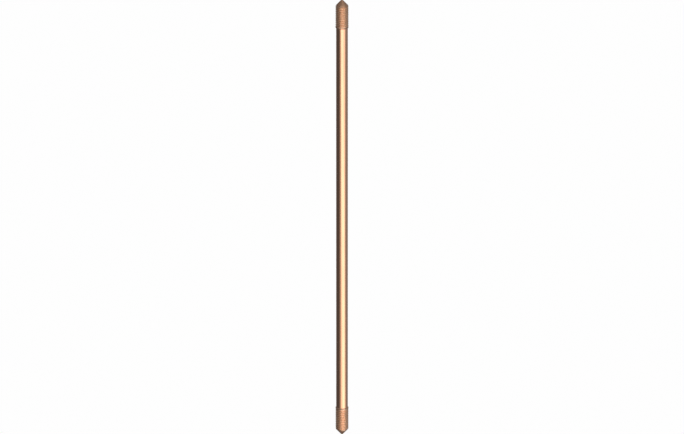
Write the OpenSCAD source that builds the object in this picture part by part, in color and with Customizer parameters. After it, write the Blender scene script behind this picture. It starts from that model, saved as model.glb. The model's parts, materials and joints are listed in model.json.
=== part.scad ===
// Threaded earth rod: one round copper-faced steel bar, pointed and thread-rolled alike at both ends.
// Its axis lies along +Z and its lower tip is at the origin.

/* [Bar] */
// Overall length, from tip to tip
rod_length = 556; // [300:1:3000]
// Diameter of the plain drawn shank
shank_d = 14.2; // [12.7:0.1:15]

/* [Thread] */
// Diameter over the crests
thread_d = 15.7; // [15.4:0.05:18]
// Advance in one turn, which also sets the form of the thread
thread_pitch = 2.309; // [1.8:0.001:3.2]
// Length of each threaded end, from the shank to the base of the point
thread_length = 28; // [16:0.5:45]
// Length of the ramp that drops from the crests to the shank
shoulder_length = 0.5; // [0.3:0.1:3]
// Plain collar left between the shoulder and the start of the groove, at its narrowest
collar_length = 0.2; // [0.2:0.1:4]
// Part of a turn in which the groove comes up to the crests beside the collar
runout_turns = 0.5; // [0.25:0.05:1.5]
// Direction in which the groove leaves the thread at the base of the point
groove_exit_angle = 90; // [0:5:355]

/* [Point] */
// Included angle of each conical point
point_angle = 87; // [60:1:120]
// Diameter of the small flat at the tip
tip_d = 0.8; // [0.4:0.1:3]

/* [Hidden] */

copper = [0.72, 0.46, 0.32];
$fn = 96;

half_length = rod_length / 2;
shank_r = shank_d / 2;
crest_r = thread_d / 2;
tip_r = tip_d / 2;
point_length = (crest_r - tip_r) / tan(point_angle / 2);
// Height above the middle of the bar at which each threaded end starts
thread_foot = half_length - point_length - thread_length;

// Basic profile of the Unified thread: 60 degree flanks between a crest and a root cut flat
flank_slope = tan(60 / 2);
crest_flat = thread_pitch / 8;
root_flat = thread_pitch / 4;
thread_depth = (thread_pitch - crest_flat - root_flat) / 2 / flank_slope;
root_r = crest_r - thread_depth;

// The groove is cut from this far outside the crests, where its turns are still apart
cut_past = thread_pitch / 20;
outer_half = root_flat / 2 + (thread_depth + cut_past) * flank_slope;
groove_section = [
    [root_r, -root_flat / 2],
    [root_r, root_flat / 2],
    [crest_r + cut_past, outer_half],
    [crest_r + cut_past, -outer_half]
];
corners = len(groove_section);

// Heights above the thread's foot between which the middle of the groove climbs, clear of the bar at its end
groove_start = shoulder_length + collar_length + root_flat / 2;
groove_end = thread_length + thread_depth / tan(point_angle / 2) + 2 * outer_half;
groove_turns = (groove_end - groove_start) / thread_pitch;
turn_steps = 24;
groove_steps = ceil(groove_turns * turn_steps);
runout_steps = runout_turns * turn_steps;
first_angle = groove_exit_angle - 360 * (thread_length - groove_start) / thread_pitch;

// Distance that the groove's section stands out at a step: past the crests at first, none after the run-out
function groove_lift(step) = (thread_depth + cut_past) * max(0, 1 - step / runout_steps);

// Corners of the groove's section at a step of its right-hand helix
function groove_corners(step) =
    let (
        angle = first_angle + 360 * step / turn_steps,
        height = groove_start + thread_pitch * step / turn_steps
    )
    [
        for (corner = groove_section)
            let (radius = corner[0] + groove_lift(step))
            [radius * cos(angle), radius * sin(angle), height + corner[1]]
    ];

// Two triangles of one side of the groove, between a step and the next
function groove_side(step, side) =
    let (
        here = step * corners + side,
        beside = step * corners + (side + 1) % corners
    )
    [[here, beside + corners, beside], [here, here + corners, beside + corners]];

// Helical groove that the rolling dies leave, as a solid that stands on the thread's foot
module groove() {
    first_cap = [for (side = [0 : corners - 1]) side];
    last_cap = [for (side = [corners - 1 : -1 : 0]) groove_steps * corners + side];
    sides = [
        for (step = [0 : groove_steps - 1], side = [0 : corners - 1])
            for (triangle = groove_side(step, side)) triangle
    ];
    polyhedron(
        points = [for (step = [0 : groove_steps]) for (corner = groove_corners(step)) corner],
        faces = concat([first_cap, last_cap], sides)
    );
}

// Turned and pointed bar about its middle, before its ends are threaded
module blank() {
    upper = [
        [shank_r, thread_foot],
        [crest_r, thread_foot + shoulder_length],
        [crest_r, thread_foot + thread_length],
        [tip_r, half_length],
        [0, half_length]
    ];
    lower = [for (i = [len(upper) - 1 : -1 : 0]) [upper[i][0], -upper[i][1]]];
    rotate_extrude()
        polygon(concat(lower, upper));
}

module earth_rod() {
    color(copper)
        translate([0, 0, half_length])
            difference() {
                blank();
                for (turned = [0, 180])
                    rotate([0, turned, 0])
                        translate([0, 0, thread_foot])
                            groove();
            }
}

earth_rod();
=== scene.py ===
"""Looks of a copper-faced earth rod: a drawn bar with a rolled thread and a conical point at each end."""

import json
import math

import bpy
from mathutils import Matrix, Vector


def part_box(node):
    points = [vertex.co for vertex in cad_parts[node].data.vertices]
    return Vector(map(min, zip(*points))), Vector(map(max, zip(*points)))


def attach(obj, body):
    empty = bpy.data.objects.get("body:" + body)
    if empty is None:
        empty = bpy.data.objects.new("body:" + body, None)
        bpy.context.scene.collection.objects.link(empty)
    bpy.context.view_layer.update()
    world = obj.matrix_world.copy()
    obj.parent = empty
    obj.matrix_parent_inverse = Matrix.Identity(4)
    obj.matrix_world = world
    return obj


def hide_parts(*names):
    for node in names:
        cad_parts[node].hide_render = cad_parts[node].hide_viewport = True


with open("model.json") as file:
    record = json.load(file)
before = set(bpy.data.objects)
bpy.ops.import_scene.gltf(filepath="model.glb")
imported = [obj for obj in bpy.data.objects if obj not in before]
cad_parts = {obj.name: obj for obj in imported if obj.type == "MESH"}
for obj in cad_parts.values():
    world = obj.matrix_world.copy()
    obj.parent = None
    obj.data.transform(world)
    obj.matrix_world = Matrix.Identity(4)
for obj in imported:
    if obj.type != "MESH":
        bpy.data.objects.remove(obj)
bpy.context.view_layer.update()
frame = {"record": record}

# Sizes of the rod that the frame gives, in metres
MM = 0.001
LOW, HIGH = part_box("earth_rod")
MOUNTS = {mount["name"]: mount["dims"] for mount in frame["record"]["mounts"]}
ROD_LENGTH = HIGH.z - LOW.z
MIDDLE = LOW.z + ROD_LENGTH / 2
CREST_R = (HIGH.x - LOW.x) / 2
SHANK_R = MOUNTS["shank"]["r_mm"] * MM
SHANK_LENGTH = MOUNTS["shank"]["length_mm"] * MM
THREAD_LENGTH = MOUNTS["upper_thread"]["length_mm"] * MM
END_LENGTH = (ROD_LENGTH - SHANK_LENGTH) / 2
POINT_LENGTH = END_LENGTH - THREAD_LENGTH

# Sizes of the rod's smaller forms
PITCH = 2.309 * MM
SHOULDER_LENGTH = 0.5 * MM
COLLAR_LENGTH = 0.2 * MM
RUNOUT_TURNS = 0.5
GROOVE_EXIT_ANGLE = math.radians(90)
TIP_R = 0.4 * MM
EDGE_ROUNDING = 0.16 * MM
TIP_ROUNDING = 0.3 * MM

# Form of the thread: 60 degree flanks between a rounded root and a crest with broken edges
FLANK_SLOPE = math.tan(math.radians(30))
CREST_FLAT = PITCH / 8
ROOT_FLAT = PITCH / 4
THREAD_DEPTH = (PITCH - CREST_FLAT - ROOT_FLAT) / 2 / FLANK_SLOPE
ROOT_R = CREST_R - THREAD_DEPTH
ROOT_ROUNDING = 0.2 * MM
CREST_BREAK = 0.05 * MM

# How far the groove's body reaches past the crests, and past the base of the point, to cut cleanly
CUT_PAST = 0.03 * MM
SPARE_TURNS = 1.6

# Fineness of the round forms
ROUND_SIDES = 128
ROUNDING_STEPS = 3
SMOOTH_ANGLE = math.radians(38)

# The flat map of the rod's surface: the share of its width left free at each side, and of its height for the
# shank
SURFACE_MAP = "OFBake"
MAP_MARGIN = 0.01
SHANK_SHARE = 0.3

# Tests of place and direction
END_FACING = 0.9
SAME_PLANE_ANGLE = 0.001
WELD = 0.0002 * MM

# The photograph's frame and view: the tips' distance from its edges and the picture's lift are in pixels
FRAME_WIDTH, FRAME_HEIGHT = 684, 434
TIP_MARGIN = -0.45
VIEW_LIFT = 0.15
ELEVATION = math.radians(19)
LENS = 600
SENSOR = 36
VIEW_DEPTH = 100

# Linear colours
BRIGHT_COPPER = (0.915, 0.487, 0.289, 1)
BROWN_COPPER = (0.70, 0.36, 0.22, 1)
THREAD_COPPER = (0.915, 0.58, 0.372, 1)
# The brown of the shade painted into the thread's roots and run-outs
PAINTED_SHADE_BROWN = (0.58, 0.35, 0.235, 1)
POINT_BROWN = (0.71, 0.405, 0.25, 1)
# The pale copper of the highlight painted on the rims at the base of the points
PAINTED_RIM_HIGHLIGHT = (0.97, 0.74, 0.55, 1)
PAPER_WHITE = (0.99, 0.99, 0.99, 1)
LAMP_WHITE = (1, 1, 1, 1)
ROOM_COOL = (1, 1.13, 1.32, 1)

# Sizes of the marks on the copper, across the rod
DRAW_LINE = 0.3 * MM
STREAK = 2.5 * MM
MOTTLE = 14 * MM
SCRATCH = 1.2 * MM
SCUFF = 0.5 * MM
TURNED_RING = 0.3 * MM
GRAIN_ROUGHNESS = 0.55

# Heights of the marks, in millimetres
DRAW_LINE_HEIGHT = 0.009
SCRATCH_DEPTH = 0.004
TURNED_RING_HEIGHT = 0.005
SCUFF_HEIGHT = 0.003

# Roughness of the bright shank, and what the marks and the other places add to it or take from it
SHANK_ROUGHNESS = 0.145
DULLING_ROUGHNESS = 0.07
DRAW_LINE_ROUGHNESS = 0.06
SCRATCH_ROUGHNESS = 0.12
END_ROUGHNESS = 0.22
ROOT_ROUGHNESS = 0.06
POINT_GLOSS = 0.1
RIM_GLOSS = 0.14

# Distances in which the finish changes: into the point, along the rim past its base (painted highlight), and
# before the shank (painted shade)
POINT_EDGE = 0.2 * MM
RIM_START = (-0.05 * MM, 0.15 * MM)
RIM_END = (0.8 * MM, 1.3 * MM)
RUNOUT_START = (2.4 * MM, 1.6 * MM)

# Brightness of the parts of the studio
ROOM_LIGHT = 0.077
RIGHT_WALL_LIGHT = 0.177
BACK_WALL_LIGHT = 0.055
CEILING_LIGHT = 0.20
CARD_LIGHT = 0.6
FLOOR_LIGHT = 0.35
FRONT_GLOW = 0.65
HIGH_GLOW = 0.25
BACK_GLOW = 1.6
SOFTBOX_DISTANCE = 0.6
FLOOR_SIZE = 12


def deselect_all():
    """Leaves edit mode with nothing selected, so that the next operator acts on one piece alone."""
    if bpy.context.mode != "OBJECT":
        bpy.ops.object.mode_set(mode="OBJECT")
    bpy.ops.object.select_all(action="DESELECT")


def take_up(piece):
    """Makes a piece the active one and the only one selected."""
    deselect_all()
    piece.select_set(True)
    bpy.context.view_layer.objects.active = piece


def pick(piece, kind, wanted):
    """Selects, in edit mode, the vertices, edges or polygons that the test wanted accepts."""
    bpy.ops.mesh.select_mode(type={"vertices": "VERT", "edges": "EDGE", "polygons": "FACE"}[kind])
    bpy.ops.mesh.select_all(action="DESELECT")
    bpy.ops.object.mode_set(mode="OBJECT")
    for element in getattr(piece.data, kind):
        element.select = wanted(element)
    bpy.ops.object.mode_set(mode="EDIT")


def grow_end(side, length, scale):
    """Draws the selected end face out along the rod and brings it to a new width."""
    bpy.ops.mesh.extrude_region_move(TRANSFORM_OT_translate={"value": (0, 0, side * length)})
    bpy.ops.transform.resize(value=(scale, scale, 1), center_override=(0, 0, 0))


def round_rings(bar, from_middle, rounding):
    """Rounds the ring edges that lie at these distances from the middle of the bar."""
    points = bar.data.vertices

    def on_ring(edge):
        first, second = (abs(points[i].co.z - MIDDLE) for i in edge.vertices)
        level = abs(first - second) < WELD
        return level and any(abs(first - distance) < WELD for distance in from_middle)

    pick(bar, "edges", on_ring)
    bpy.ops.mesh.bevel(offset=rounding, segments=ROUNDING_STEPS)


def shape_blank():
    """The turned and pointed bar, before its ends are threaded."""
    deselect_all()
    bpy.ops.mesh.primitive_cylinder_add(
        vertices=ROUND_SIDES, radius=SHANK_R, depth=SHANK_LENGTH, location=(0, 0, MIDDLE))
    bar = bpy.context.object
    bar.name = "copper_rod"
    bpy.ops.object.transform_apply(location=True)
    bpy.ops.object.mode_set(mode="EDIT")
    for side in (1, -1):
        pick(bar, "polygons", lambda face: face.normal.z * side > END_FACING)
        grow_end(side, SHOULDER_LENGTH, CREST_R / SHANK_R)
        grow_end(side, THREAD_LENGTH - SHOULDER_LENGTH, 1)
        grow_end(side, POINT_LENGTH, TIP_R / CREST_R)
    foot = SHANK_LENGTH / 2
    round_rings(bar, (foot, foot + SHOULDER_LENGTH, foot + THREAD_LENGTH), EDGE_ROUNDING)
    round_rings(bar, (foot + END_LENGTH,), TIP_ROUNDING)
    bpy.ops.object.mode_set(mode="OBJECT")
    return bar


def shape_groove_section(height):
    """The outline of the thread's groove, on the +X side of the rod, as one loop of edges."""
    flank_depth = THREAD_DEPTH - CREST_BREAK
    flank_half = ROOT_FLAT / 2 + flank_depth * FLANK_SLOPE
    outer_step = CREST_BREAK + CUT_PAST
    outer_half = flank_half + outer_step / FLANK_SLOPE
    halfway = ROOT_R + flank_depth / 2
    deselect_all()
    bpy.ops.mesh.primitive_plane_add(
        size=1, location=(halfway, 0, height), rotation=(math.pi / 2, 0, 0))
    groove = bpy.context.object
    bpy.ops.transform.resize(value=(flank_depth, 1, ROOT_FLAT))
    bpy.ops.object.transform_apply(location=True, rotation=True, scale=True)
    points = groove.data.vertices
    bpy.ops.object.mode_set(mode="EDIT")
    pick(groove, "edges", lambda edge: all(points[i].co.x > halfway for i in edge.vertices))
    bpy.ops.transform.resize(value=(1, 1, flank_half * 2 / ROOT_FLAT), center_override=(0, 0, height))
    bpy.ops.mesh.extrude_region_move(TRANSFORM_OT_translate={"value": (outer_step, 0, 0)})
    bpy.ops.transform.resize(value=(1, 1, outer_half / flank_half), center_override=(0, 0, height))
    pick(groove, "vertices", lambda point: point.co.x < halfway)
    bpy.ops.mesh.bevel(offset=ROOT_ROUNDING, segments=ROUNDING_STEPS, affect="VERTICES")
    bpy.ops.mesh.select_all(action="SELECT")
    bpy.ops.mesh.dissolve_limited(angle_limit=SAME_PLANE_ANGLE)
    bpy.ops.mesh.delete(type="ONLY_FACE")
    bpy.ops.object.mode_set(mode="OBJECT")
    return groove


def shape_groove():
    """The right-hand helical body that the groove of the upper thread is cut with."""
    foot = MIDDLE + SHANK_LENGTH / 2
    base = foot + THREAD_LENGTH
    start = foot + SHOULDER_LENGTH + COLLAR_LENGTH + ROOT_FLAT / 2
    turns = math.ceil((base - start) / PITCH + SPARE_TURNS)
    groove = shape_groove_section(start)
    section_points = len(groove.data.vertices)
    screw = groove.modifiers.new("turns", "SCREW")
    screw.angle = math.tau * turns
    screw.screw_offset = PITCH * turns
    screw.steps = ROUND_SIDES * turns
    screw.render_steps = screw.steps
    bpy.ops.object.modifier_apply(modifier=screw.name)

    # The groove comes up past the crests beside the collar
    runout_steps = RUNOUT_TURNS * ROUND_SIDES
    for point in groove.data.vertices:
        step = point.index // section_points
        lift = (THREAD_DEPTH + CUT_PAST) * max(0, 1 - step / runout_steps)
        radius = math.hypot(point.co.x, point.co.y)
        point.co.x *= 1 + lift / radius
        point.co.y *= 1 + lift / radius

    # It is turned so that it leaves at its own angle, half a side off the bar's edges
    side_angle = math.tau / ROUND_SIDES
    wanted = GROOVE_EXIT_ANGLE - math.tau * (base - start) / PITCH
    turned = (math.floor(wanted / side_angle) + 0.5) * side_angle
    bpy.ops.object.mode_set(mode="EDIT")
    bpy.ops.mesh.select_all(action="SELECT")
    bpy.ops.transform.rotate(value=-turned, orient_axis="Z", center_override=(0, 0, 0))
    bpy.ops.mesh.fill_holes(sides=0)
    bpy.ops.mesh.select_all(action="SELECT")
    bpy.ops.mesh.normals_make_consistent(inside=False)
    bpy.ops.object.mode_set(mode="OBJECT")
    return groove


def cut_thread(bar, groove):
    """Cuts one threaded end of the bar and takes the cutting body away."""
    take_up(bar)
    cut = bar.modifiers.new("thread", "BOOLEAN")
    cut.operation = "DIFFERENCE"
    cut.solver = "EXACT"
    cut.object = groove
    bpy.ops.object.modifier_apply(modifier=cut.name)
    bpy.data.objects.remove(groove)


def share_of_turn(place):
    """How far round the rod a place lies, from 0 to 1."""
    return (math.atan2(place.y, place.x) + math.pi) / math.tau


def share_of_height(place):
    """How far up the map a place lies, from 0 to 1: the ends have more room there than the shank."""
    climb = place.z - LOW.z
    on_shank = min(max(climb - END_LENGTH, 0), SHANK_LENGTH)
    on_ends = climb - on_shank
    return on_shank / SHANK_LENGTH * SHANK_SHARE + on_ends / (2 * END_LENGTH) * (1 - SHANK_SHARE)


def unroll(surface):
    """Lays the surface out on its map: round the rod across the map, and along the rod up it."""
    layout = surface.uv_layers.active
    layout.name = SURFACE_MAP
    for face in surface.polygons:
        face_turn = share_of_turn(face.center)
        for corner in face.loop_indices:
            place = surface.vertices[surface.loops[corner].vertex_index].co

            # A face across the seam keeps its corners together, out into the margin
            turn = share_of_turn(place)
            turn += round(face_turn - turn)
            across = MAP_MARGIN + turn * (1 - 2 * MAP_MARGIN)
            layout.uv[corner].vector = (across, share_of_height(place))


def shape_rod():
    """The whole rod: one bar, threaded alike at both ends."""
    bar = shape_blank()
    upper_groove = shape_groove()
    take_up(upper_groove)
    bpy.ops.object.duplicate()
    lower_groove = bpy.context.object
    bpy.ops.object.mode_set(mode="EDIT")
    bpy.ops.mesh.select_all(action="SELECT")
    bpy.ops.transform.rotate(value=math.pi, orient_axis="Y", center_override=(0, 0, MIDDLE))
    bpy.ops.object.mode_set(mode="OBJECT")
    for groove in (upper_groove, lower_groove):
        cut_thread(bar, groove)
    bpy.ops.object.mode_set(mode="EDIT")
    bpy.ops.mesh.select_all(action="SELECT")
    bpy.ops.mesh.remove_doubles(threshold=WELD)
    bpy.ops.mesh.normals_make_consistent(inside=False)
    bpy.ops.object.mode_set(mode="OBJECT")
    bpy.ops.object.shade_smooth_by_angle(angle=SMOOTH_ANGLE)

    # The long faces stay straight to their ends, and only the small roundings turn the light
    normals = bar.modifiers.new("normals", "WEIGHTED_NORMAL")
    normals.keep_sharp = True
    bpy.ops.object.modifier_apply(modifier=normals.name)
    unroll(bar.data)
    return bar


class Wire:
    """An output in a node tree: an expression on it adds Math nodes, and node() adds any other node."""

    def __init__(self, tree, socket=None):
        self.tree = tree
        self.socket = socket

    def node(self, kind, settings=None, sockets=None, output=0):
        """Adds a node, sets it up, gives its sockets their values or links, and returns one output."""
        added = self.tree.nodes.new(kind)
        for name, value in (settings or {}).items():
            setattr(added, name, value)
        for name, value in (sockets or {}).items():
            if isinstance(value, Wire):
                self.tree.links.new(value.socket, added.inputs[name])
            else:
                added.inputs[name].default_value = value
        return Wire(self.tree, added.outputs[output]) if len(added.outputs) else None

    def beside(self, name):
        """Another output of the same node."""
        return Wire(self.tree, self.socket.node.outputs[name])

    def maths(self, operation, *values):
        """Adds a Math node on these values."""
        return self.node("ShaderNodeMath", {"operation": operation}, dict(enumerate(values)))

    def __add__(self, other):
        return self.maths("ADD", self, other)

    def __sub__(self, other):
        return self.maths("SUBTRACT", self, other)

    def __rsub__(self, other):
        return self.maths("SUBTRACT", other, self)

    def __mul__(self, other):
        return self.maths("MULTIPLY", self, other)

    def __truediv__(self, other):
        return self.maths("DIVIDE", self, other)

    def __pow__(self, other):
        return self.maths("POWER", self, other)

    def __neg__(self):
        return self * -1

    __radd__ = __add__
    __rmul__ = __mul__


def rise(value, low, high):
    """A mask that goes smoothly from 0 at low to 1 at high."""
    return value.node(
        "ShaderNodeMapRange", {"interpolation_type": "SMOOTHSTEP"},
        {"Value": value, "From Min": low, "From Max": high})


def grain(place, along, size, detail):
    """Noise of this grain size across the rod, drawn out along it where the factor along is below 1."""
    drawn_out = place.node(
        "ShaderNodeVectorMath", {"operation": "MULTIPLY"}, {0: place, 1: (1, 1, along)})
    return place.node(
        "ShaderNodeTexNoise", None,
        {"Vector": drawn_out, "Scale": 1 / size, "Detail": detail, "Roughness": GRAIN_ROUGHNESS})


def tint(mask, base, other):
    """A colour that goes from base to other where the mask rises."""
    return mask.node(
        "ShaderNodeMix", {"data_type": "RGBA"}, {0: mask, 6: base, 7: other}, output=2)


def new_tree(holder):
    """An empty node tree of a material or a world."""
    holder.use_nodes = True
    holder.node_tree.nodes.clear()
    return Wire(holder.node_tree)


def drawn_copper():
    """Bright copper with lengthwise draw lines, duller on the rolled threads and on the turned points, with
    painted shade in the roots and run-outs and a painted highlight on the rims.
    """
    material = bpy.data.materials.new("drawn_copper")
    tree = new_tree(material)
    place = tree.node("ShaderNodeTexCoord", output="Object")
    x = tree.node("ShaderNodeSeparateXYZ", None, {0: place}, output="X")
    y = x.beside("Y")
    z = x.beside("Z")

    # Places: the shank, the threads and the points, then the roots and the run-outs, which get painted
    # shade, and the rims at the points' bases, which get a painted highlight
    from_end = z.maths("MINIMUM", z - LOW.z, HIGH.z - z)
    shank = rise(from_end, END_LENGTH - SHOULDER_LENGTH, END_LENGTH)
    ends = 1 - shank
    point = 1 - rise(from_end, POINT_LENGTH - POINT_EDGE, POINT_LENGTH)
    thread = ends - point
    radius = (x * x + y * y) ** 0.5
    depth = (CREST_R - radius) / THREAD_DEPTH
    root = rise(depth, 0.25, 1.0) * thread
    crest = 1 - rise(depth, 0.2, 0.5)
    past_base = from_end - POINT_LENGTH
    rim = rise(past_base, *RIM_START) * (1 - rise(past_base, *RIM_END)) * crest
    runout = rise(from_end, END_LENGTH - RUNOUT_START[0], END_LENGTH - RUNOUT_START[1]) * ends

    # Marks of drawing, handling, rolling and turning
    draw_lines = grain(place, 0.012, DRAW_LINE, 3)
    streaks = grain(place, 0.006, STREAK, 2)
    mottle = grain(place, 0.35, MOTTLE, 4)
    scuffs = grain(place, 1, SCUFF, 3)
    scratches = rise(grain(place, 0.03, SCRATCH, 2), 0.66, 0.74) * shank
    rings = z.maths("SINE", z * (math.tau / TURNED_RING))
    dulling = rise(mottle * 0.6 + streaks * 0.4, 0.35, 0.75)

    base = tint(dulling * 0.35 + scratches * 0.25, BRIGHT_COPPER, BROWN_COPPER)
    base = tint(thread, base, THREAD_COPPER)
    # Shade is painted brown into the roots of the thread and into the run-outs beside the shank
    base = tint(root * 0.45, base, PAINTED_SHADE_BROWN)
    base = tint(runout * 0.8, base, PAINTED_SHADE_BROWN)
    base = tint(point, base, POINT_BROWN)
    # A highlight is painted pale on the rims at the base of the points
    base = tint(rim * 0.9, base, PAINTED_RIM_HIGHLIGHT)
    roughness = (
        SHANK_ROUGHNESS + dulling * DULLING_ROUGHNESS + draw_lines * DRAW_LINE_ROUGHNESS
        + scratches * SCRATCH_ROUGHNESS + ends * END_ROUGHNESS + root * ROOT_ROUGHNESS
        - point * (1 - scuffs) * POINT_GLOSS - rim * RIM_GLOSS)
    height = (
        (draw_lines * DRAW_LINE_HEIGHT - scratches * SCRATCH_DEPTH) * shank
        + rings * point * TURNED_RING_HEIGHT + scuffs * ends * SCUFF_HEIGHT)
    bump = tree.node("ShaderNodeBump", None, {"Strength": 1, "Distance": MM, "Height": height})
    shader = tree.node(
        "ShaderNodeBsdfPrincipled", None,
        {"Base Color": base, "Metallic": 1, "Roughness": roughness, "Normal": bump})
    tree.node("ShaderNodeOutputMaterial", None, {"Surface": shader})
    return material


def pale_floor():
    """An evenly lit white sweep."""
    material = bpy.data.materials.new("white_sweep")
    tree = new_tree(material)
    glow = tree.node("ShaderNodeEmission", None, {"Color": PAPER_WHITE, "Strength": 1})
    tree.node("ShaderNodeOutputMaterial", None, {"Surface": glow})
    return material


def place_floor():
    """A floor under the lower tip, kept out of the rod's reflections."""
    deselect_all()
    bpy.ops.mesh.primitive_plane_add(size=FLOOR_SIZE, location=(0, 0, LOW.z))
    floor = bpy.context.object
    floor.name = "floor"
    floor.data.materials.append(pale_floor())
    floor.visible_glossy = False
    floor.visible_shadow = False


def glow_towards(heading, azimuth, elevation, full, spread):
    """A soft round patch of light in one direction, full inside an angle and gone at a wider one."""
    turn, lift = math.radians(azimuth), math.radians(elevation)
    centre = (math.sin(turn) * math.cos(lift), -math.cos(turn) * math.cos(lift), math.sin(lift))
    near = heading.node(
        "ShaderNodeVectorMath", {"operation": "DOT_PRODUCT"}, {0: heading, 1: centre}, output="Value")
    return rise(near, math.cos(math.radians(spread)), math.cos(math.radians(full)))


def light_studio():
    """A dim cool room with soft glows in it, which the camera sees as plain white."""
    world = bpy.data.worlds.new("studio")
    bpy.context.scene.world = world
    tree = new_tree(world)
    heading = tree.node("ShaderNodeTexCoord", output="Generated")
    across = tree.node("ShaderNodeSeparateXYZ", None, {0: heading}, output="X")
    behind = across.beside("Y")
    above = across.beside("Z")

    # The room is lighter on the right, up to the ceiling, and a little lighter behind the rod
    right_wall = rise(across, -0.1, 0.9) * (1 - rise(above, 0.2, 0.8))
    back_wall = rise(behind, 0.2, 0.9)
    dim = ROOM_LIGHT + RIGHT_WALL_LIGHT * right_wall + BACK_WALL_LIGHT * back_wall

    # A card below the camera, from the middle to the left, and the floor before the rod throw light up
    card = rise(-above, 0.42, 0.68) * rise(-behind, 0.1, 0.5) * (1 - rise(across, -0.2, 0.6))
    front_floor = rise(-above, 0.8, 0.95) * rise(-behind, 0, 0.25)
    ceiling = rise(above, 0.1, 0.9)
    bright = (
        CARD_LIGHT * card + FLOOR_LIGHT * front_floor + CEILING_LIGHT * ceiling
        + FRONT_GLOW * glow_towards(heading, azimuth=16, elevation=-15, full=13, spread=70)
        + HIGH_GLOW * glow_towards(heading, azimuth=56, elevation=62, full=8, spread=26)
        + BACK_GLOW * glow_towards(heading, azimuth=180, elevation=-13, full=6, spread=16))
    room = tree.node("ShaderNodeBackground", None, {"Color": ROOM_COOL, "Strength": dim})
    glow = tree.node("ShaderNodeBackground", None, {"Color": LAMP_WHITE, "Strength": bright})
    studio = tree.node("ShaderNodeAddShader", None, {0: room, 1: glow})
    paper = tree.node("ShaderNodeBackground", None, {"Color": PAPER_WHITE, "Strength": 1})
    seen = tree.node("ShaderNodeLightPath", output="Is Camera Ray")
    view = tree.node("ShaderNodeMixShader", None, {0: seen, 1: studio, 2: paper})
    tree.node("ShaderNodeOutputWorld", None, {"Surface": view})


def hang_softbox(name, width, height, radiance, azimuth, centre_height, lean):
    """A soft box that faces the rod from one side, turned in its own plane so that its foot goes right."""
    turn, tilt = math.radians(azimuth), math.radians(lean)
    light = bpy.data.lights.new(name, "AREA")
    light.shape = "RECTANGLE"
    light.size = width
    light.size_y = height
    light.energy = radiance * math.pi * width * height
    box = bpy.data.objects.new(name, light)
    bpy.context.collection.objects.link(box)
    outward = Vector((math.sin(turn), -math.cos(turn), 0))
    box.location = outward * SOFTBOX_DISTANCE + Vector((0, 0, centre_height))
    box.rotation_euler = (-outward).to_track_quat("-Z", "Y").to_euler()
    box.rotation_euler.rotate_axis("Z", tilt)
    box.visible_camera = False


def aim_camera():
    """A long lens at the photograph's angle, with both tips beside the edges of the frame."""
    camera = bpy.data.cameras.new("camera")
    camera.lens = LENS
    camera.sensor_width = SENSOR
    camera.clip_end = VIEW_DEPTH
    camera.shift_y = -VIEW_LIFT / FRAME_WIDTH

    # The tips are to be seen this many pixels above and below the aim, and the upper one is the nearer
    focal = LENS / SENSOR * FRAME_WIDTH
    reach = FRAME_HEIGHT / 2 - TIP_MARGIN
    along = focal * math.cos(ELEVATION)
    nearing = reach * math.sin(ELEVATION)
    above_share = reach / (along + nearing)
    below_share = reach / (along - nearing)
    distance = ROD_LENGTH / (above_share + below_share)
    aim = Vector((0, 0, LOW.z + below_share * distance))
    backward = Vector((0, -math.cos(ELEVATION), math.sin(ELEVATION)))
    viewer = bpy.data.objects.new("camera", camera)
    bpy.context.collection.objects.link(viewer)
    viewer.location = aim + backward * distance
    viewer.rotation_euler = (-backward).to_track_quat("-Z", "Y").to_euler()
    bpy.context.scene.camera = viewer


rod = shape_rod()
rod.data.materials.clear()
rod.data.materials.append(drawn_copper())
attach(rod, "root")
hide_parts("earth_rod")

place_floor()
light_studio()
hang_softbox(
    "broad_softbox", width=0.80, height=1.3, radiance=0.67, azimuth=18.7, centre_height=-0.03, lean=0)
hang_softbox(
    "strip_softbox", width=0.42, height=1.8, radiance=0.47, azimuth=19.7, centre_height=0.03, lean=51)
aim_camera()
bpy.context.scene.view_settings.view_transform = "Standard"
